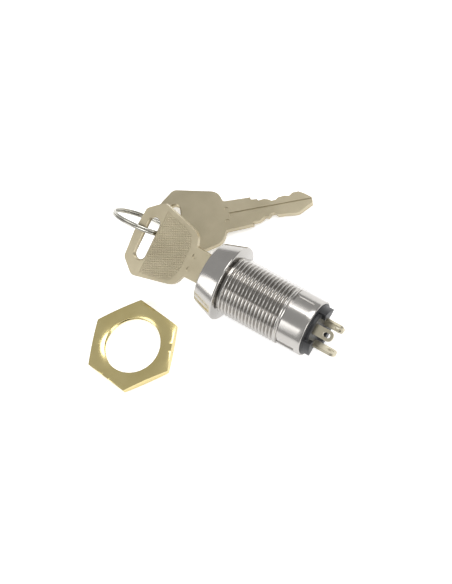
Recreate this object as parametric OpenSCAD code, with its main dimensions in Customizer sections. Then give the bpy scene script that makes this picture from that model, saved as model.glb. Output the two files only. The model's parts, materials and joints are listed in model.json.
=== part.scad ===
// Key-operated selector switch: a round threaded lock body lying on its side with three solder lugs,
// its key inserted, and the spare key, the split ring and the loose panel nut beside it.
// Origin: on the barrel's axis, in the plane of the bezel's rear face, which seats on the panel.
// +Z is up from the surface that everything lies on, and +Y runs along the barrel towards the lugs.

/* [Barrel] */
// Outside diameter of the barrel's thread
thread_d = 16; // [15.9:0.05:16.1]
// Length of the thread behind the bezel
thread_len = 17.6; // [17:0.1:18]
// Length from the panel seat to the rear rim
body_len = 24.3; // [24.2:0.1:24.6]
// Diameter of the plain skirt behind the thread, which the nut passes over
skirt_d = 15.1; // [15:0.05:15.1]
// Distance across the two flats of the barrel
flat_af = 14.85; // [14.8:0.05:14.9]
// Diameter of the bezel where it seats on the panel
bezel_seat_d = 20.5; // [20:0.1:21]
// Diameter of the bezel's front face
bezel_front_d = 16.9; // [16:0.1:17.5]
// Height of the bezel in front of the panel
bezel_h = 6.2; // [6.1:0.1:6.4]

/* [Plug] */
// Diameter of the plug
plug_d = 10; // [9.9:0.05:10]
// Diameter of the plug's head
plug_head_d = 11.2; // [11:0.1:11.4]
// Turn of the plug from one switch position to the other, in degrees
plug_turn = 90; // [60:5:90]
// Running clearance on the radius of turning parts
run_gap = 0.05; // [0.03:0.01:0.08]

/* [Wafers] */
// Distance from one wafer to the next
wafer_pitch = 2.6; // [2.4:0.1:2.6]
// Thickness of a wafer
wafer_t = 0.9; // [0.8:0.05:0.95]
// Travel of a wafer when the key leaves
wafer_lift = 0.5; // [0.3:0.05:0.5]

/* [Key] */
// Thickness of the key
key_t = 1.75; // [1.7:0.05:1.8]
// Overall length of the key
key_len = 40.6; // [40:0.1:40.7]
// Distance from the bow's far end to the shoulders
shoulder_x = 24.6; // [24.4:0.1:24.8]
// Width of the slot for the ring
slot_w = 3.1; // [3.05:0.05:3.2]
// Length of the slot for the ring
slot_len = 11.6; // [11.4:0.1:12]

/* [Ring and nut] */
// Mean radius of the split ring
ring_r = 8.6; // [8.55:0.05:8.65]
// Diameter of the ring's wire
ring_wire = 0.7; // [0.65:0.05:0.7]
// Nut size across the flats
nut_af = 21.7; // [21:0.1:22]
// Thickness of the nut
nut_t = 2.4; // [2.3:0.1:3]
// Diameter of the bore through the nut's thread
nut_bore_d = 15.2; // [15:0.05:15.3]

/* [Terminals] */
// Width of a solder lug
lug_w = 2.8; // [2.6:0.1:2.9]
// Thickness of a solder lug
lug_t = 0.8; // [0.7:0.05:0.8]
// Distance of the lugs' middle plane from the barrel's axis
lug_r = 3.5; // [3.4:0.05:3.6]
// Distance from the panel seat to the tip of each lug
lug_tips = [30.8, 30.5, 31.9];

/* [How it lies] */
// Roll of the lock about its own axis, in degrees
lock_roll = 21; // [20:0.5:22]
// Middle of the nut, measured from the origin
nut_at = [24.4, -18.4];
// Turn of the nut, in degrees
nut_turn = 22.9; // [20:0.1:26]
// Middle of the spare key's far end, measured from the origin
spare_at = [-6.3, -29.3];
// Direction of the spare key's blade, in degrees
spare_dir = 128.8; // [128:0.1:129.5]
// Height of the spare key's far end above the surface, where the ring passes under it
spare_lift = 1.95; // [1.8:0.05:2.1]
// Middle of the ring, measured from the origin
ring_at = [-4.4, -31.3, -1.91];
// Lean of the ring's axis from upright, in degrees
ring_lean = -64; // [-64.2:0.1:-63.8]

/* [Hidden] */
$fn = 96;
eps = 0.01;

// Edge breaks on the bezel's seat and on the skirt's rim
seat_edge = 0.3;
rim_edge = 0.3;
barrel_r = thread_d / 2;
skirt_r = skirt_d / 2;
seat_r = bezel_seat_d / 2;
// The lock rests on the bezel's edge and on the end of its skirt
lie_tilt = atan((seat_r - skirt_r) / (body_len - rim_edge + seat_edge));
table_z = seat_edge * sin(lie_tilt) - seat_r * cos(lie_tilt);

// Stations along the barrel, measured rearwards from the panel seat
face_z = 1 - bezel_h;
head_end = face_z + 1.45;
bore_end = 12.5;
plug_end = bore_end - 0.1;
washer_z = bore_end + 0.05;
washer_t = 0.75;
pin_z = bore_end - 1.5;
pin_len = 2.6;
clip_z = 13.45;
clip_t = 0.55;
rotor_z = 14.4;
rotor_len = 4.2;
rotor_end = rotor_z + rotor_len;
tail_end = 17;
base_seat_z = 18;
bridge_z = 20;
bridge_t = 0.5;
contact_z = bridge_z + bridge_t + run_gap;
base_front = 21.1;
flange_end = body_len + 0.2;
base_face = 25.4;
barrier_end = 26.6;

cavity_r = 6.6;
base_r = 7;
channel_w = 4.3;
channel_r = 5.95;
tail_w = 4.2;
tail_hole_w = tail_w + 0.1;
pin_r = 0.6;
pin_at_r = 5.8;
pin_angle = 45;
rotor_r = 5.9;
leaf_track_r = 5.5;
leaf_angle = 90;
bridge_middle = -162;
bridge_reach = 95;
peg_angles = [-222, -102];
peg_at_r = 4.85;
peg_r = 0.3;

// Wafers
wafer_first_z = -1.6;
wafer_r = plug_d / 2 - 0.05;
wafer_half = 2;
ear_half = 0.45;
ear_top = 3.1;
pocket_top = 3.25;
spring_out = 3;
spring_y = 2.62;
blade_half = 3.3;
side_gap = 0.05;

function wafer_z(i) = wafer_first_z + i * wafer_pitch;
function wafer_way(i) = i % 2 == 0 ? 1 : -1;

// Key
key_origin = face_z - 0.05 - shoulder_x;
slot_x = 4.1;
tip_half = 0.8;
groove_x = 18.5;
groove_w = 1.2;
groove_deep = 0.35;
// Corners of the bow and shank on one side, each with its rounding radius
bow_corners = [[0.5, 6.9, 1.5], [4.4, 10.3, 1.8], [16.2, 7.4, 3.4], [17.3, 4.2, 0.8]];
shank_half = 3.95;
// Corners of the cuts along the two edges of the blade
left_cuts = [[25.2, 3.2], [26.3, 3.1], [26.6, 2.6], [28.2, 2.75], [29.2, 2.4], [30.1, 1.8], [31.2, 1.9],
    [31.8, 2.45], [33.5, 2.65], [34.8, 2.3], [35.8, 3.1], [37.4, 3.1], [38.6, 2.4]];
right_cuts = [[26.4, 3.2], [27.1, 2.8], [27.9, 2.2], [28.8, 2.55], [29.6, 1.75], [30.5, 1.7], [31.3, 2.5],
    [33.4, 2.6], [36, 2.95], [37, 2.8], [38.2, 2.1]];
// Corners of the sunk panel on one side of the bow's patterned face
panel_corners = [[6.2, 8.8], [12.4, 7.5], [14.9, 6.3], [15.9, 3.3]];

// ---- Placing ----

// The lock's own frame: z runs rearwards, x across the key's width, -y out of the key's upper face
module in_lock() {
    rotate([-(90 + lie_tilt), 0, 0]) rotate([0, 0, lock_roll]) children();
}

// ---- Shapes used more than once ----

function on_circle(r, from, to, steps) =
    [for (i = [0:steps]) let (a = from + (to - from) * i / steps) [r * cos(a), r * sin(a)]];

module pie(r, from, to, h) {
    linear_extrude(h) polygon(concat([[0, 0]], on_circle(2 * r, from, to, 12)));
}

module disc_sector(r, from, to, h) {
    intersection() {
        cylinder(r = r, h = h);
        translate([0, 0, -1]) pie(r, from, to, h + 2);
    }
}

module ring_sector(r_in, r_out, from, to, h) {
    difference() {
        disc_sector(r_out, from, to, h);
        translate([0, 0, -1]) cylinder(r = r_in, h = h + 2);
    }
}

module square_bar(w, h) {
    translate([-w / 2, -w / 2, 0]) cube([w, w, h]);
}

// A coil spring along z, swept as one closed body
module coil(r, wire, turns, h, steps, sides) {
    count = round(turns * steps);
    loops = [for (i = [0:count]) let (a = 360 * i / steps, z = wire + (h - 2 * wire) * i / count)
        [for (k = [0:sides - 1]) let (b = 360 * k / sides, q = r + wire * cos(b))
            [q * cos(a), q * sin(a), z + wire * sin(b)]]];
    walls = [for (i = [0:count - 1], k = [0:sides - 1]) let (n = (k + 1) % sides)
        [i * sides + k, (i + 1) * sides + k, (i + 1) * sides + n, i * sides + n]];
    first = [for (k = [0:sides - 1]) k];
    last = [for (k = [sides - 1:-1:0]) count * sides + k];
    polyhedron([for (loop = loops, p = loop) p], concat(walls, [first, last]), convexity = 8);
}

// ---- Lock body ----

module housing_outside() {
    front_edge = 0.4;
    rotate_extrude() polygon([
        [0, -bezel_h], [bezel_front_d / 2 - front_edge, -bezel_h], [bezel_front_d / 2, -bezel_h + front_edge],
        [seat_r, -seat_edge], [seat_r - seat_edge, 0], [barrel_r, 0], [barrel_r, thread_len],
        [skirt_r, thread_len], [skirt_r, body_len - rim_edge], [skirt_r - rim_edge, body_len],
        [0, body_len]]);
}

module housing_inside() {
    translate([0, 0, -bezel_h - 1]) cylinder(d = plug_head_d + 2 * run_gap, h = head_end + bezel_h + 1.05);
    translate([0, 0, head_end]) cylinder(d = plug_d + 2 * run_gap, h = bore_end - head_end + eps);
    translate([0, 0, bore_end]) cylinder(r = cavity_r, h = body_len);
    translate([0, 0, base_seat_z]) cylinder(r = base_r + run_gap, h = body_len);
    wafer_channels();
    rotate([0, 0, pin_angle]) translate([pin_at_r, 0, pin_z]) cylinder(r = pin_r, h = pin_len);
}

module wafer_channels() {
    from = -2.9;
    translate([0, 0, from]) intersection() {
        cylinder(r = channel_r, h = bore_end - from + eps);
        for (a = [0, 90]) rotate([0, 0, a]) translate([-10, -channel_w / 2, -1]) cube([20, channel_w, 20]);
    }
}

module barrel_housing() {
    flat_cut = 5;
    skirt_groove_w = 2;
    skirt_groove_deep = 0.25;
    color([0.78, 0.79, 0.8]) in_lock() difference() {
        housing_outside();
        housing_inside();
        for (s = [-1, 1]) translate([s * (flat_af / 2 + flat_cut / 2), 0, body_len / 2])
            cube([flat_cut, 30, body_len], center = true);
        // Two opposite pairs of shallow grooves in the skirt
        for (a = [44, 146, 224, 326]) rotate([0, 0, a])
            translate([skirt_r - skirt_groove_deep, -skirt_groove_w / 2, thread_len + 0.2])
                cube([2, skirt_groove_w, 5]);
    }
}

module stop_pin() {
    color([0.6, 0.61, 0.63]) in_lock() rotate([0, 0, pin_angle]) translate([pin_at_r, 0, pin_z])
        cylinder(r = pin_r, h = pin_len);
}

// ---- Plug and what turns with it ----

module keyway() {
    half_x = blade_half + 0.15;
    half_y = key_t / 2 + 0.1;
    rib_w = groove_w - 0.3;
    rib_deep = 0.25;
    floor_z = 11.2;
    difference() {
        translate([-half_x, -half_y, face_z - 1]) cube([2 * half_x, 2 * half_y, floor_z - face_z + 1]);
        // Ribs that run in the key's grooves
        for (s = [0, 180]) rotate([0, 0, s])
            translate([-rib_w / 2, half_y - rib_deep, face_z - 2]) cube([rib_w, 1, floor_z - face_z + 3]);
    }
}

module wafer_pocket(i) {
    slot_half = wafer_half + side_gap;
    slot_t = wafer_t + 2 * side_gap;
    ear_room = ear_half + wafer_lift + side_gap;
    translate([0, 0, wafer_z(i) - slot_t / 2]) {
        translate([-plug_d, -slot_half, 0]) cube([2 * plug_d, 2 * slot_half, slot_t]);
        // Room for the wafer's ear and its spring
        mirror([wafer_way(i) < 0 ? 1 : 0, 0, 0])
            translate([-spring_out, 0, 0]) cube([spring_out + ear_room, pocket_top, slot_t]);
    }
}

module plug() {
    clip_groove_r = 2.4;
    color([0.74, 0.68, 0.48]) in_lock() difference() {
        union() {
            translate([0, 0, face_z]) cylinder(d = plug_head_d, h = head_end - face_z);
            translate([0, 0, face_z]) cylinder(d = plug_d, h = plug_end - face_z);
            translate([0, 0, plug_end - eps]) square_bar(tail_w, tail_end - plug_end + eps);
        }
        keyway();
        for (i = [0:4]) wafer_pocket(i);
        translate([0, 0, clip_z]) difference() {
            cylinder(r = tail_w, h = clip_t + side_gap);
            translate([0, 0, -1]) cylinder(r = clip_groove_r, h = 3);
        }
    }
}

module wafer(i) {
    window_half_x = blade_half + wafer_lift + side_gap;
    window_half_y = key_t / 2 + 0.2;
    color([0.8, 0.68, 0.38]) in_lock() translate([0, 0, wafer_z(i) - wafer_t / 2]) difference() {
        union() {
            intersection() {
                cylinder(r = wafer_r, h = wafer_t);
                translate([-plug_d, -wafer_half, 0]) cube([2 * plug_d, 2 * wafer_half, wafer_t]);
            }
            translate([-ear_half, 1.5, 0]) cube([2 * ear_half, ear_top - 1.5, wafer_t]);
        }
        translate([-window_half_x, -window_half_y, -1])
            cube([2 * window_half_x, 2 * window_half_y, wafer_t + 2]);
    }
}

module wafer_spring(i) {
    color([0.75, 0.75, 0.76]) in_lock() translate([0, spring_y, wafer_z(i)])
        rotate([0, wafer_way(i) * -90, 0]) translate([0, 0, ear_half + side_gap])
            coil(0.36, 0.1, 6, spring_out - ear_half - 2 * side_gap, 10, 5);
}

module stop_washer() {
    outer_r = 6.3;
    notch_r = 5.05;
    pin_half = asin(pin_r / pin_at_r);
    notch_half = plug_turn / 2 + pin_half + 1;
    notch_middle = pin_angle - plug_turn / 2;
    color([0.7, 0.71, 0.73]) in_lock() translate([0, 0, washer_z]) difference() {
        cylinder(r = outer_r, h = washer_t);
        translate([0, 0, -1]) square_bar(tail_hole_w, 3);
        translate([0, 0, -1])
            ring_sector(notch_r, outer_r + 1, notch_middle - notch_half, notch_middle + notch_half, 3);
    }
}

module retaining_clip() {
    inner_r = 2.45;
    outer_r = 4;
    color([0.55, 0.56, 0.58]) in_lock() translate([0, 0, clip_z + 0.02])
        ring_sector(inner_r, outer_r, 40, 320, clip_t - 0.04);
}

module rotor() {
    post_r = 1.4;
    post_len = 2;
    socket = tail_end - rotor_z + 0.1;
    detent_r = 0.5;
    color([0.12, 0.12, 0.13]) in_lock() translate([0, 0, rotor_z]) difference() {
        union() {
            cylinder(r = rotor_r, h = rotor_len);
            translate([0, 0, rotor_len - eps]) cylinder(r = post_r, h = post_len);
            // Pegs that turn the contact bridge
            for (a = peg_angles) rotate([0, 0, a]) translate([peg_at_r, 0, rotor_len - eps])
                cylinder(r = peg_r, h = bridge_z + bridge_t - rotor_end);
        }
        translate([0, 0, -1]) square_bar(tail_hole_w, socket + 1);
        // Track for the detent leaf, with a notch for each switch position
        translate([0, 0, 0.6]) difference() {
            cylinder(r = rotor_r + 1, h = 2.6);
            translate([0, 0, -1]) cylinder(r = leaf_track_r, h = 5);
        }
        for (a = [leaf_angle, leaf_angle - plug_turn]) rotate([0, 0, a])
            translate([leaf_track_r + 0.2, 0, 0.6]) cylinder(r = detent_r, h = 2.6, $fn = 32);
    }
}

// Sprung strip against the cavity's wall, drawn pressed outwards as it is while the rotor turns
module detent_leaf() {
    leaf_in = 6.1;
    leaf_out = 6.35;
    half = 38;
    bump_r = 0.4;
    color([0.75, 0.75, 0.76]) in_lock() rotate([0, 0, leaf_angle]) translate([0, 0, rotor_z + 0.8]) {
        ring_sector(leaf_in, leaf_out, -half, half, 2.2);
        for (s = [-1, 1])
            ring_sector(leaf_out - eps, cavity_r, s * half - 2.5, s * half + 2.5 - s * 2.5, 2.2);
        translate([leaf_in - 0.1, 0, 0]) cylinder(r = bump_r, h = 2.2, $fn = 32);
    }
}

module contact_spring() {
    gap = 0.05;
    color([0.75, 0.75, 0.76]) in_lock() translate([0, 0, rotor_end + gap])
        coil(2.2, 0.2, 2.5, bridge_z - rotor_end - 2 * gap, 24, 8);
}

module contact_bridge() {
    color([0.8, 0.55, 0.3]) in_lock() translate([0, 0, bridge_z]) difference() {
        ring_sector(1.6, 5.4, bridge_middle - bridge_reach, bridge_middle + bridge_reach, bridge_t);
        for (a = peg_angles) rotate([0, 0, a]) translate([peg_at_r, 0, -1])
            cylinder(r = peg_r + side_gap, h = 3);
    }
}

// ---- Rear end ----

module at_lug(k) {
    rotate([0, 0, 140 + 120 * k]) children();
}

module contact_heads() {
    color([0.85, 0.85, 0.83]) in_lock() for (k = [0:2]) at_lug(k) translate([lug_r, 0, contact_z])
        cylinder(r = 0.9, h = base_front - contact_z, $fn = 48);
}

module terminal(k) {
    hole_w = 1.2;
    hole_len = 2;
    end_z = lug_tips[k] - lug_w / 2;
    color([0.8, 0.77, 0.68]) in_lock() at_lug(k) translate([lug_r - lug_t / 2, 0, 0]) difference() {
        union() {
            translate([0, -lug_w / 2, base_front]) cube([lug_t, lug_w, end_z - base_front]);
            translate([0, 0, end_z]) rotate([0, 90, 0]) cylinder(d = lug_w, h = lug_t);
        }
        for (z = [0, hole_len - hole_w]) translate([-1, 0, end_z - z]) rotate([0, 90, 0])
            cylinder(d = hole_w, h = 3);
        translate([-1, -hole_w / 2, end_z - hole_len + hole_w]) cube([3, hole_w, hole_len - hole_w]);
    }
}

module terminal_base() {
    raised_r = 5.9;
    chamber_r = 6.65;
    color([0.1, 0.1, 0.11]) in_lock() difference() {
        union() {
            // The wall round the contacts stands on the housing's inner shoulder
            translate([0, 0, base_seat_z + 0.02]) cylinder(r = base_r, h = flange_end - base_seat_z - 0.02);
            translate([0, 0, flange_end - eps]) cylinder(r = raised_r, h = base_face - flange_end + eps);
            // A barrier between each two lugs
            for (k = [0:2]) at_lug(k) rotate([0, 0, 60]) translate([0, 0, flange_end - eps])
                ring_sector(4.6, 6.6, -22, 22, barrier_end - flange_end + eps);
        }
        translate([0, 0, base_seat_z - 1]) cylinder(r = chamber_r, h = base_front - base_seat_z + 1);
        for (k = [0:2]) at_lug(k)
            translate([lug_r - lug_t / 2, -lug_w / 2, base_front - 1]) cube([lug_t, lug_w, 10]);
    }
}

// ---- Keys ----

function unit(v) = v / norm(v);

// Points of an arc of radius r that rounds the corner q between p and s
function rounded(p, q, s, r) =
    let (u = unit(p - q), v = unit(s - q), half = acos(u * v) / 2,
        middle = q + unit(u + v) * r / sin(half), from = q + u * r / tan(half) - middle,
        to = q + v * r / tan(half) - middle, a = atan2(from[1], from[0]), b = atan2(to[1], to[0]),
        turn = b - a > 180 ? b - a - 360 : b - a < -180 ? b - a + 360 : b - a)
    [for (i = [0:6]) middle + r * [cos(a + turn * i / 6), sin(a + turn * i / 6)]];

function reversed(list) = [for (i = [len(list) - 1:-1:0]) list[i]];
function mirrored(list) = [for (p = list) [p[0], -p[1]]];

function bow_side() =
    let (c = [for (p = bow_corners) [p[0], p[1]]], path = concat([[0, 0]], c, [[shoulder_x, shank_half]]))
    [for (i = [1:len(c)]) each rounded(path[i - 1], path[i], path[i + 1], bow_corners[i - 1][2])];

function key_side(cuts) = concat(
    bow_side(), [[shoulder_x, shank_half], [shoulder_x, blade_half]], cuts, [[key_len, tip_half]]);

module key_outline() {
    polygon(concat([[0, 0]], key_side(left_cuts), reversed(mirrored(key_side(right_cuts)))));
}

// The slot for the ring, with its edges broken on both faces
module ring_slot() {
    edge = 0.3;
    r = slot_w / 2;
    half = (slot_len - slot_w) / 2;
    past = 1;
    wall = [[r + edge + past, -key_t / 2 - past], [r, -key_t / 2 + edge], [r, key_t / 2 - edge],
        [r + edge + past, key_t / 2 + past]];
    for (s = [-1, 1]) translate([0, s * half, 0]) rotate_extrude()
        polygon(concat([[0, -key_t / 2 - past]], wall, [[0, key_t / 2 + past]]));
    translate([0, half, 0]) rotate([90, 0, 0]) linear_extrude(2 * half)
        polygon(concat(wall, [for (i = [3:-1:0]) [-wall[i][0], wall[i][1]]]));
}

// A key with x from its far end to its tip, its plain face up and its thickness centred on z = 0
module key() {
    panel_deep = 0.12;
    difference() {
        translate([0, 0, -key_t / 2]) linear_extrude(key_t) key_outline();
        translate([slot_x, 0, 0]) ring_slot();
        // Groove along the blade, which starts on the neck of the plain face only
        for (side = [[0, groove_x], [180, shoulder_x]]) rotate([side[0], 0, 0])
            translate([side[1], -groove_w / 2, key_t / 2 - groove_deep]) cube([key_len, groove_w, 1]);
        // Dimples beside the neck on both faces
        for (s = [0, 180], y = [-1.8, 1.8]) rotate([s, 0, 0])
            translate([17.9, y, key_t / 2 - 0.2]) cylinder(r = 0.55, h = 1, $fn = 24);
        // Sunk panel on the patterned face
        translate([0, 0, -key_t / 2 - 1]) linear_extrude(1 + panel_deep)
            polygon(concat(panel_corners, reversed(mirrored(panel_corners))));
    }
}

module inserted_key() {
    color([0.7, 0.66, 0.53]) in_lock() translate([0, 0, key_origin]) rotate([0, -90, 90])
        rotate([180, 0, 0]) key();
}

module spare_key() {
    droop = asin(spare_lift / key_len);
    color([0.7, 0.66, 0.53]) translate([spare_at[0], spare_at[1], table_z + spare_lift])
        rotate([0, 0, spare_dir]) rotate([0, droop, 0]) translate([0, 0, key_t / 2 + 0.02]) key();
}

module split_ring() {
    color([0.7, 0.71, 0.72]) translate(ring_at) rotate([0, ring_lean, 0]) rotate_extrude()
        translate([ring_r, 0]) {
            for (s = [-1, 1]) translate([0, s * ring_wire / 2]) circle(d = ring_wire, $fn = 32);
            square(ring_wire, center = true);
        }
}

// ---- Nut ----

module panel_nut() {
    lead_w = 0.9;
    lead_deep = 0.45;
    bore_r = nut_bore_d / 2;
    corner_r = nut_af / sqrt(3);
    drop = 0.5;
    color([0.8, 0.7, 0.38]) translate([nut_at[0], nut_at[1], table_z]) rotate([0, 0, nut_turn]) difference() {
        intersection() {
            cylinder(r = corner_r, h = nut_t, $fn = 6);
            // Turned chamfer on the corners of both faces
            rotate_extrude() polygon([[0, 0], [nut_af / 2, 0], [corner_r + 0.1, drop],
                [corner_r + 0.1, nut_t - drop], [nut_af / 2, nut_t], [0, nut_t]]);
        }
        // Bore, with a wide lead-in cone at both ends
        rotate_extrude() polygon([[0, -1], [bore_r + lead_w, -1], [bore_r + lead_w, 0], [bore_r, lead_deep],
            [bore_r, nut_t - lead_deep], [bore_r + lead_w, nut_t], [bore_r + lead_w, nut_t + 1],
            [0, nut_t + 1]]);
    }
}

barrel_housing();
plug();
stop_washer();
stop_pin();
retaining_clip();
rotor();
detent_leaf();
contact_spring();
contact_bridge();
contact_heads();
terminal_base();
terminal(0);  // terminal_1
terminal(1);  // terminal_2
terminal(2);  // terminal_3
wafer(0);  // wafer_1
wafer(1);  // wafer_2
wafer(2);  // wafer_3
wafer(3);  // wafer_4
wafer(4);  // wafer_5
wafer_spring(0);  // wafer_spring_1
wafer_spring(1);  // wafer_spring_2
wafer_spring(2);  // wafer_spring_3
wafer_spring(3);  // wafer_spring_4
wafer_spring(4);  // wafer_spring_5
inserted_key();
spare_key();
split_ring();
panel_nut();
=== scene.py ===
import json
import math

import bmesh
import bpy
from mathutils import Matrix, Vector


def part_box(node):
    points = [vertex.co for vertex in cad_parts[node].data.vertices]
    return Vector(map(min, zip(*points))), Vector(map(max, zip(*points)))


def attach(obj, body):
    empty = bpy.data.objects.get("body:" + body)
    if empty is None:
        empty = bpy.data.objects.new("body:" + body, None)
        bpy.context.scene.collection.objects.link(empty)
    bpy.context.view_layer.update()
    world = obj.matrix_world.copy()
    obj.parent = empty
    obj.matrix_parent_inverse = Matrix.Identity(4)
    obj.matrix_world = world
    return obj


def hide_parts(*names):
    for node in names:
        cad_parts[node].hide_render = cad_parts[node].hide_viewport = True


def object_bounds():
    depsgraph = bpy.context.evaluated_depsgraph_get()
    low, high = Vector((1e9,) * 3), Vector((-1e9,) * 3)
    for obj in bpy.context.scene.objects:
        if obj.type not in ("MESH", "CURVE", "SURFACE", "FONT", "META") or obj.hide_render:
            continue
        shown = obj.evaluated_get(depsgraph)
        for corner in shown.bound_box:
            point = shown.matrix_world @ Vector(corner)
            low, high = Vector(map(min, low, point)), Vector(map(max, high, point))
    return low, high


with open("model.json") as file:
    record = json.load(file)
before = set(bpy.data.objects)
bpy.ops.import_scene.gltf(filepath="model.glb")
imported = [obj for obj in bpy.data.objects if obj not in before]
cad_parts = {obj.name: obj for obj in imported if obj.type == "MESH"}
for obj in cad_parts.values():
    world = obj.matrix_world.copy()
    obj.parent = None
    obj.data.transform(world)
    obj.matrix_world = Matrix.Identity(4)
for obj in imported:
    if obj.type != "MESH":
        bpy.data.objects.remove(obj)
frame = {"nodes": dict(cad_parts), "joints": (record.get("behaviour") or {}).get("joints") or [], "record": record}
cad_low, cad_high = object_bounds()
MM = 0.001
joints = {joint["name"]: joint for joint in frame["joints"]}

# ---- Camera ----
# A long lens above the lugs' end, looking down on the pieces as they lie on a table.
eye = Vector((88.06, 169.98, 374.10)) * MM
back = Vector((0.2037, 0.4056, 0.8911)).normalized()
right = Vector((-0.5263, 0.8128, -0.2496)).normalized()
camera_data = bpy.data.cameras.new("camera")
camera_data.lens = 102.9
camera_data.clip_start = 0.01
camera = bpy.data.objects.new("camera", camera_data)
facing = Matrix((right, back.cross(right), back)).transposed().to_4x4()
camera.matrix_world = Matrix.Translation(eye) @ facing
bpy.context.collection.objects.link(camera)
bpy.context.scene.camera = camera

# ---- Studio ----
# A white sweep under the pieces, soft boxes all round, and two dark cards that the bright metals mirror.
world = bpy.data.worlds.new("studio")
world.use_nodes = True
world.node_tree.nodes["Background"].inputs["Color"].default_value = (1, 1, 1, 1)
world.node_tree.nodes["Background"].inputs["Strength"].default_value = 0.56
bpy.context.scene.world = world
bpy.context.scene.view_settings.view_transform = "Standard"


def soft_box(name, place, size, watts):
    """A square area light at place, aimed at the barrel."""
    light = bpy.data.lights.new(name, "AREA")
    light.size = size
    light.energy = watts
    lamp = bpy.data.objects.new(name, light)
    lamp.location = place
    lamp.rotation_euler = (-Vector(place)).to_track_quat("-Z", "Y").to_euler()
    bpy.context.collection.objects.link(lamp)


soft_box("key_light", (-0.25, 0.1, 0.45), 0.3, 1.5)
soft_box("fill_light", (0.4, -0.25, 0.3), 0.35, 1.0)
soft_box("rim_light", (0.1, 0.5, 0.2), 0.2, 0.5)


def hex_colour(code):
    """Turns an sRGB hex colour into the linear one that shaders take."""
    values = [int(code[i : i + 2], 16) / 255 for i in (0, 2, 4)]
    return tuple(v / 12.92 if v <= 0.04045 else ((v + 0.055) / 1.055) ** 2.4 for v in values) + (1.0,)


def add_node(tree, kind, values=None, links=None, **settings):
    """Adds one node with its settings, its sockets' values and the outputs linked into it."""
    node = tree.nodes.new(kind)
    for name, value in settings.items():
        setattr(node, name, value)
    for name, value in (values or {}).items():
        node.inputs[name].default_value = value
    for name, output in (links or {}).items():
        tree.links.new(output, node.inputs[name])
    return node


def start_material(name):
    """An empty material with a shader and the object's own coordinates."""
    material = bpy.data.materials.new(name)
    material.use_nodes = True
    tree = material.node_tree
    shader = tree.nodes["Principled BSDF"]
    place = add_node(tree, "ShaderNodeTexCoord").outputs["Object"]
    return material, tree, shader, place


FLOOR_GAP = 0.05 * MM
CARD_SIZE = 90 * MM

# White paper: lights the undersides and leaves only soft shadows.
floor_material, _, floor_shader, _ = start_material("white_paper")
floor_shader.inputs["Base Color"].default_value = hex_colour("FFFFFF")
floor_shader.inputs["Roughness"].default_value = 0.9
floor_shader.inputs["Emission Color"].default_value = (1, 1, 1, 1)
floor_shader.inputs["Emission Strength"].default_value = 0.45
bpy.ops.mesh.primitive_plane_add(size=3, location=(0, 0, cad_low.z - FLOOR_GAP))
floor = bpy.context.object
floor.name = "floor"
floor.data.materials.append(floor_material)

# Black card: seen only as dark bands in the bright metals.
card_material, _, card_shader, _ = start_material("black_card")
card_shader.inputs["Base Color"].default_value = hex_colour("101010")
for number, (place, turn) in enumerate([((0.16, 0.1, 0.07), 60), ((-0.14, 0.12, 0.09), -50)]):
    bpy.ops.mesh.primitive_plane_add(size=CARD_SIZE, location=place, rotation=(0, math.radians(turn), 0))
    card = bpy.context.object
    card.name = f"card_{number}"
    card.data.materials.append(card_material)
    card.visible_camera = False
    card.visible_shadow = False

# ---- Lock body ----
# Die-cast zinc, machined with a 1 mm thread and two flats, then bright chromed all over.
# Its outline is turned round the axis. The bore is plain, with no channels for the wafers.
THREAD_PITCH = 1.0
THREAD_DEPTH = 0.55
THREAD_RADIUS = 8.0
THREAD_START = 0.8
THREAD_END = 17.4
THREAD_RUN_IN = 0.4
THREAD_RUN_OUT = 0.6
THREAD_SHARPNESS = 1.25
POINTS_PER_MM = 16
THREAD_POINTS = 267
BARREL_STEPS = 480
FLAT_HALF = 7.425
SKIRT = 7.55
SKIRT_GROOVES = (44, 146, 224, 326)
GROOVE_START = 17.8
GROOVE_END = 22.8
GROOVE_HALF = 1.0
GROOVE_DEPTH = 0.25
BODY_LENGTH = 24.3
SHARP_ANGLE = math.radians(35)
along = Vector(joints["plug_turn"]["axis"]).normalized()
across = Vector(joints["wafer_1_slide"]["axis"]).normalized()
lock_frame = Matrix((across, along.cross(across), along)).transposed().to_4x4()

PATCH_SCALE = 160.0
GLOSS_LOW = 0.75
GLOSS_HIGH = 1.3
MARK_DEPTH = 0.05 * MM


def metal(name, light, dark, rough, grain_mm, stretch=(1, 1, 1), dent=0.02):
    """A bare or plated metal: two close tones, uneven gloss and fine marks of one real size."""
    material, tree, shader, place = start_material(name)
    shader.inputs["Metallic"].default_value = 1.0
    mapped = add_node(tree, "ShaderNodeMapping", {"Scale": stretch}, {"Vector": place}).outputs["Vector"]
    fine = add_node(tree, "ShaderNodeTexNoise", {"Scale": 1000 / grain_mm, "Detail": 4.0},
                    {"Vector": mapped})
    wide = add_node(tree, "ShaderNodeTexNoise", {"Scale": PATCH_SCALE, "Detail": 3.0}, {"Vector": place})
    tone = add_node(tree, "ShaderNodeMix", links={"Factor": wide.outputs["Fac"]}, data_type="RGBA")
    tone.inputs["A"].default_value = hex_colour(light)
    tone.inputs["B"].default_value = hex_colour(dark)
    gloss = add_node(tree, "ShaderNodeMapRange", {"To Min": rough * GLOSS_LOW, "To Max": rough * GLOSS_HIGH},
                     {"Value": fine.outputs["Fac"]})
    marks = add_node(tree, "ShaderNodeBump", {"Strength": dent, "Distance": MARK_DEPTH},
                     {"Height": fine.outputs["Fac"]})
    tree.links.new(tone.outputs["Result"], shader.inputs["Base Color"])
    tree.links.new(gloss.outputs["Result"], shader.inputs["Roughness"])
    tree.links.new(marks.outputs["Normal"], shader.inputs["Normal"])
    return material


# Bright chrome: clear white and dark bands along the barrel.
chrome = metal("bright_chrome", "B9B6B2", "A5A29E", 0.19, 0.25, dent=0.004)


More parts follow.
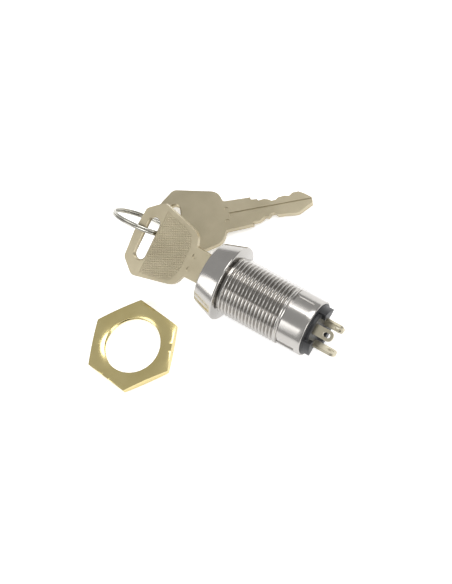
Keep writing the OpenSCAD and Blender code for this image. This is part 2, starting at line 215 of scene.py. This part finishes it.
def new_piece(name, points, faces, material):
    """A mesh object from points in metres, smooth except across sharp edges."""
    mesh = bpy.data.meshes.new(name)
    mesh.from_pydata(points, [], faces)
    shaper = bmesh.new()
    shaper.from_mesh(mesh)
    bmesh.ops.recalc_face_normals(shaper, faces=shaper.faces)
    shaper.to_mesh(mesh)
    shaper.free()
    mesh.shade_smooth()
    mesh.set_sharp_from_angle(angle=SHARP_ANGLE)
    mesh.materials.append(material)
    piece = bpy.data.objects.new(name, mesh)
    bpy.context.collection.objects.link(piece)
    return piece


def turned(name, outline, steps, shape, place, material):
    """Turns a closed outline of (height, radius) in mm; shape moves each point, place sets it down."""
    points = []
    for i in range(steps):
        angle = 2 * math.pi * i / steps
        for height, radius in outline:
            points.append(place @ (Vector(shape(angle, height, radius)) * MM))
    n = len(outline)
    faces = []
    for i in range(steps):
        for k in range(n):
            after, up = (i + 1) % steps, (k + 1) % n
            faces.append((i * n + k, i * n + up, after * n + up, after * n + k))
    return new_piece(name, points, faces, material)


def thread_groove(angle, height):
    """How far the thread is cut in at this place, from 0 on its crest to 1 at its root."""
    turn = (height / THREAD_PITCH - angle / (2 * math.pi)) % 1
    return max(0, 1 - abs(2 * turn - 1) * THREAD_SHARPNESS)


def barrel_point(angle, s, r):
    """Cuts the thread, the skirt's grooves and the two flats as the outline turns."""
    if THREAD_START < s < THREAD_END and r > THREAD_RADIUS - 0.1:
        fade = min(1, (s - THREAD_START) / THREAD_RUN_IN, (THREAD_END - s) / THREAD_RUN_OUT)
        r -= THREAD_DEPTH * fade * thread_groove(angle, s)
    if GROOVE_START < s < GROOVE_END and r > SKIRT - 0.1:
        for groove in SKIRT_GROOVES:
            offset = (angle - math.radians(groove) + math.pi) % (2 * math.pi) - math.pi
            if abs(offset) * r < GROOVE_HALF:
                r -= GROOVE_DEPTH
    x, y = r * math.cos(angle), r * math.sin(angle)
    # The flats run behind the bezel only.
    if s > 0.001:
        x = max(-FLAT_HALF, min(FLAT_HALF, x))
    return x, y, s


def rounded_step(start, end, centre, count=5):
    """Points of a quarter round from start to end, bulging away from centre."""
    return [
        (centre[0] + (start[0] - centre[0]) * math.cos(q) + (end[0] - centre[0]) * math.sin(q),
         centre[1] + (start[1] - centre[1]) * math.cos(q) + (end[1] - centre[1]) * math.sin(q))
        for q in (math.pi / 2 * k / count for k in range(count + 1))
    ]


# Bezel: its front edge, its rim at the panel, and the relief behind it.
barrel_outline = [(-6.2, 5.65)]
barrel_outline += rounded_step((-6.2, 8.0), (-5.78, 8.4), (-5.8, 8.0))
barrel_outline += rounded_step((-0.45, 10.2), (0, 9.9), (-0.35, 9.85))
barrel_outline += [(0, 7.35), (0.02, 7.3), (0.7, 7.3), (0.75, THREAD_RADIUS)]
# Thread, then the skirt with points at the ends of its grooves, then the rear rim.
barrel_outline += [(THREAD_START + k / POINTS_PER_MM, THREAD_RADIUS) for k in range(THREAD_POINTS)]
barrel_outline += [(17.6, 7.85)] + [(s, SKIRT) for s in (17.6, 17.79, 17.81, 22.79, 22.81)]
barrel_outline += rounded_step((24.0, SKIRT), (BODY_LENGTH, SKIRT - 0.3), (24.0, SKIRT - 0.3))
# Inside: the room for the base, the room for the rotor, and the bore for the plug.
barrel_outline += [(BODY_LENGTH, 7.05), (18, 7.05), (18, 6.6), (12.5, 6.6)]
barrel_outline += [(12.5, 5.05), (-3.7, 5.05), (-3.7, 5.65)]
barrel = turned("chromed_barrel", barrel_outline, BARREL_STEPS, barrel_point, lock_frame, chrome)
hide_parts("barrel_housing")
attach(barrel, "lock")


def eased_copy(node, body, material, edge_mm):
    """The CAD piece with its coincident points joined and its sharp edges rounded over."""
    mesh = frame["nodes"][node].data.copy()
    shaper = bmesh.new()
    shaper.from_mesh(mesh)
    bmesh.ops.remove_doubles(shaper, verts=shaper.verts, dist=1e-6)
    bmesh.ops.dissolve_limit(shaper, angle_limit=math.radians(1), verts=shaper.verts, edges=shaper.edges)
    shaper.to_mesh(mesh)
    shaper.free()
    if "custom_normal" in mesh.attributes:
        mesh.attributes.remove(mesh.attributes["custom_normal"])
    mesh.materials.clear()
    mesh.materials.append(material)
    mesh.shade_smooth()
    mesh.set_sharp_from_angle(angle=math.radians(30))
    piece = bpy.data.objects.new(node + "_finished", mesh)
    bpy.context.collection.objects.link(piece)
    bevel = piece.modifiers.new("edges", "BEVEL")
    bevel.width = edge_mm * MM
    bevel.segments = 2
    bevel.limit_method = "ANGLE"
    bevel.angle_limit = math.radians(40)
    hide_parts(node)
    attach(piece, body)


# ---- Plug and its mechanism ----
# Turned brass plug, nickel plated, with stamped brass wafers and drawn steel springs in its slots.
# Behind it are the zinc-plated stop washer and pin, the spring clip and the moving contact.

# Plated brass: a warm grey with a soft shine.
plated_plug = metal("nickel_plated_brass", "C9C0A0", "AFA585", 0.22, 0.3)
# Zinc plating: a cool, duller grey.
zinc_steel = metal("zinc_plated_steel", "C2C5CA", "A7ABB2", 0.28, 0.4)
# Drawn steel: a darker grey.
spring_steel = metal("drawn_spring_steel", "A9ABAF", "8B8D92", 0.3, 0.2)
# Bare brass: plain yellow, half bright.
wafer_brass = metal("stamped_brass", "CDB062", "B0924A", 0.3, 0.3)
# Bare copper: reddish, half bright.
copper = metal("stamped_copper", "C98A5E", "A86C45", 0.3, 0.3)
# Silver: the palest metal inside.
silver = metal("silver_rivet", "DADAD4", "BDBDB6", 0.25, 0.3)
eased_copy("plug", "plug", plated_plug, 0.06)


def finish_cad(node, material):
    """A hidden piece keeps its CAD shape and gets its real finish."""
    frame["nodes"][node].data.materials.clear()
    frame["nodes"][node].data.materials.append(material)


for node in ("stop_washer", "stop_pin"):
    finish_cad(node, zinc_steel)
for node in ["retaining_clip", "detent_leaf", "contact_spring"] + [f"wafer_spring_{i}" for i in range(1, 6)]:
    finish_cad(node, spring_steel)
for number in range(1, 6):
    finish_cad(f"wafer_{number}", wafer_brass)
finish_cad("contact_bridge", copper)
finish_cad("contact_heads", silver)

# ---- Base and rotor ----
# Compression-moulded black phenolic: a hard, slightly grainy plastic with a dull shine.

# Black phenolic: nearly black, with a faint grain that breaks up the highlights.
phenolic, phenolic_tree, phenolic_shader, phenolic_place = start_material("moulded_phenolic")
grain = add_node(phenolic_tree, "ShaderNodeTexNoise", {"Scale": 4000.0, "Detail": 3.0},
                 {"Vector": phenolic_place})
patch = add_node(phenolic_tree, "ShaderNodeTexNoise", {"Scale": 300.0}, {"Vector": phenolic_place})
black = add_node(phenolic_tree, "ShaderNodeMix", links={"Factor": patch.outputs["Fac"]}, data_type="RGBA")
black.inputs["A"].default_value = hex_colour("1B1B1D")
black.inputs["B"].default_value = hex_colour("2A2A2C")
grained = add_node(phenolic_tree, "ShaderNodeBump", {"Strength": 0.15, "Distance": 0.00004},
                   {"Height": grain.outputs["Fac"]})
phenolic_shader.inputs["Roughness"].default_value = 0.42
phenolic_tree.links.new(black.outputs["Result"], phenolic_shader.inputs["Base Color"])
phenolic_tree.links.new(grained.outputs["Normal"], phenolic_shader.inputs["Normal"])
eased_copy("terminal_base", "lock", phenolic, 0.15)
finish_cad("rotor", phenolic)

# ---- Solder lugs ----
# Three lugs stamped from brass strip and tinned, each with an oval eye, moulded into the base.

# Tinned brass: pale and warm, with a slightly uneven surface.
tinned = metal("tinned_brass", "CFC8B4", "ADA58E", 0.3, 0.35, dent=0.06)
for number in (1, 2, 3):
    eased_copy(f"terminal_{number}", "lock", tinned, 0.1)

# ---- Keys ----
# Stamped nickel brass, with a pressed pattern of notched ridges on one face of the bow.
# The plain face keeps the fine lines of the brushing belt.

# Brushed nickel brass: a dull straw grey with lines that run one way.
key_metal = metal("brushed_nickel_brass", "C4BAA0", "A59B82", 0.36, 0.35, (1, 6, 1), 0.2)
PATTERN_PITCH = 0.6
PATTERN_CELL = 0.075
PATTERN_HEIGHT = 0.11
PATTERN_TURN = math.radians(25)
RIDGE_SLOPE = 6
RIDGE_FLOOR = 0.9
NOTCH_HEIGHT = 0.45
PATTERN_ROOT = 0.03
PANEL_DEPTH = 0.12
KEY_HALF_THICK = 0.875
panel_half = [(6.35, 8.6), (12.4, 7.3), (14.8, 6.1), (15.7, 3.3)]


def panel_half_width(x):
    """Half the panel's width at a distance x from the key's far end, or 0 outside it."""
    for (x1, y1), (x2, y2) in zip(panel_half, panel_half[1:]):
        if x1 <= x <= x2:
            return y1 + (y2 - y1) * (x - x1) / (x2 - x1)
    return 0


def ridge(distance):
    """The pattern's height along one direction, from 0 in a valley to 1 on a flat top."""
    return min(1, max(0, abs((distance / PATTERN_PITCH) % 1 - 0.5) * RIDGE_SLOPE - RIDGE_FLOOR))


def pressed_pattern(name, place, body):
    """Notched ridges that stand on the floor of the bow's sunk panel."""
    shaper = bmesh.new()
    corners = {}

    def corner(i, k):
        if (i, k) not in corners:
            x, y = i * PATTERN_CELL, k * PATTERN_CELL
            turned_x = x * math.cos(PATTERN_TURN) - y * math.sin(PATTERN_TURN)
            turned_y = x * math.sin(PATTERN_TURN) + y * math.cos(PATTERN_TURN)
            notched = NOTCH_HEIGHT + (1 - NOTCH_HEIGHT) * ridge(turned_x)
            height = PATTERN_HEIGHT * ridge(turned_y) * notched
            corners[i, k] = shaper.verts.new((x, y, -KEY_HALF_THICK + PANEL_DEPTH - height))
        return corners[i, k]

    first, last = (round(panel_half[end][0] / PATTERN_CELL) for end in (0, -1))
    for i in range(first, last):
        narrow = min(panel_half_width(i * PATTERN_CELL), panel_half_width((i + 1) * PATTERN_CELL))
        reach = int(narrow / PATTERN_CELL)
        for k in range(-reach, reach):
            shaper.faces.new((corner(i, k), corner(i, k + 1), corner(i + 1, k + 1), corner(i + 1, k)))
    grown = bmesh.ops.extrude_face_region(shaper, geom=list(shaper.faces))["geom"]
    for vertex in (g for g in grown if isinstance(g, bmesh.types.BMVert)):
        vertex.co.z = -KEY_HALF_THICK + PANEL_DEPTH + PATTERN_ROOT
    bmesh.ops.recalc_face_normals(shaper, faces=shaper.faces)
    for vertex in shaper.verts:
        vertex.co = place @ (vertex.co * MM)
    mesh = bpy.data.meshes.new(name)
    shaper.to_mesh(mesh)
    shaper.free()
    mesh.materials.append(key_metal)
    piece = bpy.data.objects.new(name, mesh)
    bpy.context.collection.objects.link(piece)
    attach(piece, body)


eased_copy("inserted_key", "key", key_metal, 0.12)
eased_copy("spare_key", "spare", key_metal, 0.12)
to_lock = lock_frame.inverted()
key_far_end = min((to_lock @ v.co).z for v in frame["nodes"]["inserted_key"].data.vertices)
key_place = lock_frame @ Matrix.Translation((0, 0, key_far_end)) @ Matrix.Rotation(math.radians(90), 4, "Z")
key_place = key_place @ Matrix.Rotation(math.radians(-90), 4, "Y") @ Matrix.Rotation(math.pi, 4, "X")
pressed_pattern("inserted_key_pattern", key_place, "key")

SPARE_AT = (-6.3, -29.3)
SPARE_DIRECTION = 128.8
SPARE_LIFT = 1.95
PATTERN_STANDOFF = 0.02
KEY_LENGTH = 40.6
spare_height = cad_low.z / MM + SPARE_LIFT
spare_place = Matrix.Translation(Vector((*SPARE_AT, spare_height)) * MM)
spare_place = spare_place @ Matrix.Rotation(math.radians(SPARE_DIRECTION), 4, "Z")
spare_place = spare_place @ Matrix.Rotation(math.asin(SPARE_LIFT / KEY_LENGTH), 4, "Y")
spare_place = spare_place @ Matrix.Translation((0, 0, (KEY_HALF_THICK + PATTERN_STANDOFF) * MM))
pressed_pattern("spare_key_pattern", spare_place, "spare")

# ---- Split ring ----
# Nickel-plated spring wire wound twice round, the two turns lying against each other.
# The wire steps across from one turn to the next over a sixth of the way round.

# Nickel-plated wire: thin bright lines along each turn.
ring_metal = metal("nickel_plated_wire", "C4C2BA", "A29F95", 0.2, 0.3)
RING_RADIUS = 8.6
WIRE = 0.7
STEP_START = 330
STEP_END = 390
RING_POINTS = 240
RING_TURNS = 2
RING_START = 200
ring_axis = Vector(joints["ring_swing"]["axis"]).normalized()
ring_across = Vector((0, 1, 0))
ring_frame = Matrix((ring_axis.cross(ring_across) * -1, ring_across, ring_axis)).transposed().to_4x4()
ring_curve = bpy.data.curves.new("split_ring_wire", "CURVE")
ring_curve.dimensions = "3D"
ring_curve.bevel_depth = WIRE / 2 * MM
ring_curve.bevel_resolution = 6
ring_curve.use_fill_caps = True
wire = ring_curve.splines.new("POLY")
wire.points.add(RING_POINTS)
for count, point in enumerate(wire.points):
    degrees = 360 * RING_TURNS * count / RING_POINTS
    share = max(0, min(1, (degrees - STEP_START) / (STEP_END - STEP_START)))
    offset = WIRE / 2 * (2 * share * share * (3 - 2 * share) - 1)
    turn = math.radians(degrees + RING_START)
    local = Vector((RING_RADIUS * math.cos(turn), RING_RADIUS * math.sin(turn), offset)) * MM
    point.co = (*(ring_frame @ local + Vector(joints["ring_swing"]["pos_m"])), 1)
ring = bpy.data.objects.new("split_ring_wire", ring_curve)
bpy.context.collection.objects.link(ring)
ring_curve.materials.append(ring_metal)
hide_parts("split_ring")
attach(ring, "ring")

# ---- Panel nut ----
# Turned from hexagonal brass bar: both faces chamfered at the corners, threaded through and polished.
# Its outline is turned like the barrel's, and each point is kept inside the hexagon.

# Polished brass: pale gold with clear highlights at its edges.
polished_brass = metal("polished_brass", "E2D39C", "C9B97E", 0.2, 0.35, dent=0.004)
NUT_AF = 21.7
NUT_BORE = 7.6
LEAD_WIDE = 0.9
LEAD_DEEP = 0.45
NUT_TURN = 22.9
CORNER_DROP = 0.45
EDGE_BREAK = 0.03
NUT_THREAD_DEPTH = 0.4
BORE_POINTS = 24
NUT_STEPS = 360
nut_low, nut_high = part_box("panel_nut")
nut_middle = next(m for m in frame["record"]["mounts"] if m["name"] == "nut_thread")["pos_m"]
nut_thick = (nut_high.z - nut_low.z) / MM
nut_place = Matrix.Translation((nut_middle[0], nut_middle[1], nut_low.z))
nut_place = nut_place @ Matrix.Rotation(math.radians(NUT_TURN), 4, "Z")
corner_radius = NUT_AF / math.sqrt(3)


def nut_point(angle, z, r):
    """Keeps the outside to the hexagon, chamfers its corners and cuts the thread in the bore."""
    if r > NUT_AF / 2:
        r = NUT_AF / 2 / math.cos(angle % (math.pi / 3) - math.pi / 6)
        drop = EDGE_BREAK + (r - NUT_AF / 2) * CORNER_DROP / (corner_radius - NUT_AF / 2)
        z = drop if z < nut_thick / 2 else nut_thick - drop
    elif r < NUT_BORE + LEAD_WIDE and LEAD_DEEP < z < nut_thick - LEAD_DEEP:
        r += NUT_THREAD_DEPTH * thread_groove(angle, z)
    return r * math.cos(angle), r * math.sin(angle), z


bore_length = nut_thick - 2 * LEAD_DEEP
nut_outline = [(0, NUT_BORE + LEAD_WIDE), (0, NUT_AF / 2)]
nut_outline += [(0, corner_radius), (nut_thick, corner_radius)]
nut_outline += [(nut_thick, NUT_AF / 2), (nut_thick, NUT_BORE + LEAD_WIDE)]
nut_outline += [
    (nut_thick - LEAD_DEEP - bore_length * k / BORE_POINTS, NUT_BORE) for k in range(BORE_POINTS + 1)
]
nut = turned("polished_nut", nut_outline, NUT_STEPS, nut_point, nut_place, polished_brass)
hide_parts("panel_nut")
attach(nut, "nut")
